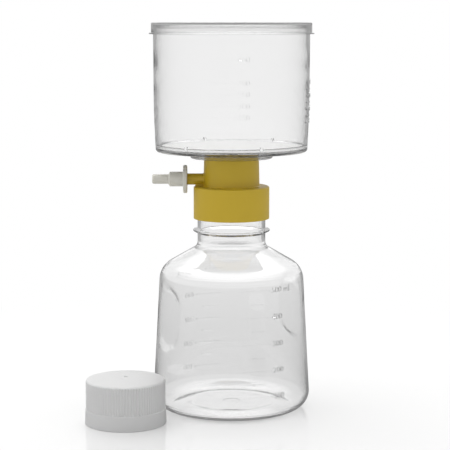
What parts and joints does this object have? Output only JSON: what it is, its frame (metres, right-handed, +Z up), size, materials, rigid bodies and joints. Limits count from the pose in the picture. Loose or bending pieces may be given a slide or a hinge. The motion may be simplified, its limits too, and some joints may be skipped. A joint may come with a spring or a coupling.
{
  "type": "vacuum filtration unit",
  "caption": "Disposable vacuum filter: lidded clear funnel over a flat membrane, yellow neck adapter with side arm and hose connector, clear receiver bottle and its screw cap.",
  "frame": {"origin": "centre of the ring that the bottle stands on, at table level", "axes": "+Z up along the bottle's axis, -X along the side arm, the storage cap in front at the left"},
  "size_m": [0.1455, 0.122, 0.2505],
  "materials": {
    "clear_bottle": "clear, smooth blown polystyrene",
    "gasket": "soft, matt",
    "yellow_adapter": "opaque yellow moulding, satin",
    "fibre_plug": "loose white fibre",
    "translucent_connector": "translucent natural polypropylene",
    "clear_plate": "clear moulded polystyrene",
    "membrane": "matt white filter membrane",
    "clear_chamber": "clear moulded polystyrene",
    "clear_lid": "clear moulded polystyrene",
    "white_cap": "white moulded polyethylene, satin"
  },
  "bodies": {
    "bottle": {"receiver_bottle": "clear_bottle"},
    "seal": {"neck_gasket": "gasket"},
    "filter_head": {"neck_adapter": "yellow_adapter", "vent_plug": "fibre_plug", "support_plate": "clear_plate", "membrane": "membrane", "upper_chamber": "clear_chamber"},
    "hose_fitting": {"hose_connector": "translucent_connector"},
    "cover": {"lid": "clear_lid"},
    "cap": {"storage_cap": "white_cap"}
  },
  "joints": [
    {"name": "head_rise", "type": "slide", "parent": "bottle", "child": "seal", "axis": [0, 0, 1], "range_m": [0, 0.0063]},
    {"name": "head_turn", "type": "hinge", "parent": "seal", "child": "filter_head", "pos_m": [0, 0, 0.144], "axis": [0, 0, 1], "range_deg": [0, 450]},
    {"name": "lid_lift", "type": "slide", "parent": "filter_head", "child": "cover", "axis": [0, 0, 1], "range_m": [0, 0.04]},
    {"name": "connector_pull", "type": "slide", "parent": "filter_head", "child": "hose_fitting", "axis": [-1, 0, 0], "range_m": [0, 0.015]},
    {"name": "cap_lift", "type": "slide", "parent": "bottle", "child": "cap", "axis": [0, 0, 1], "range_m": [0, 0.08]}
  ],
  "couplings": [
    {"joint": "head_rise", "follows": "head_turn", "m_per_rad": 0.00079577}
  ]
}
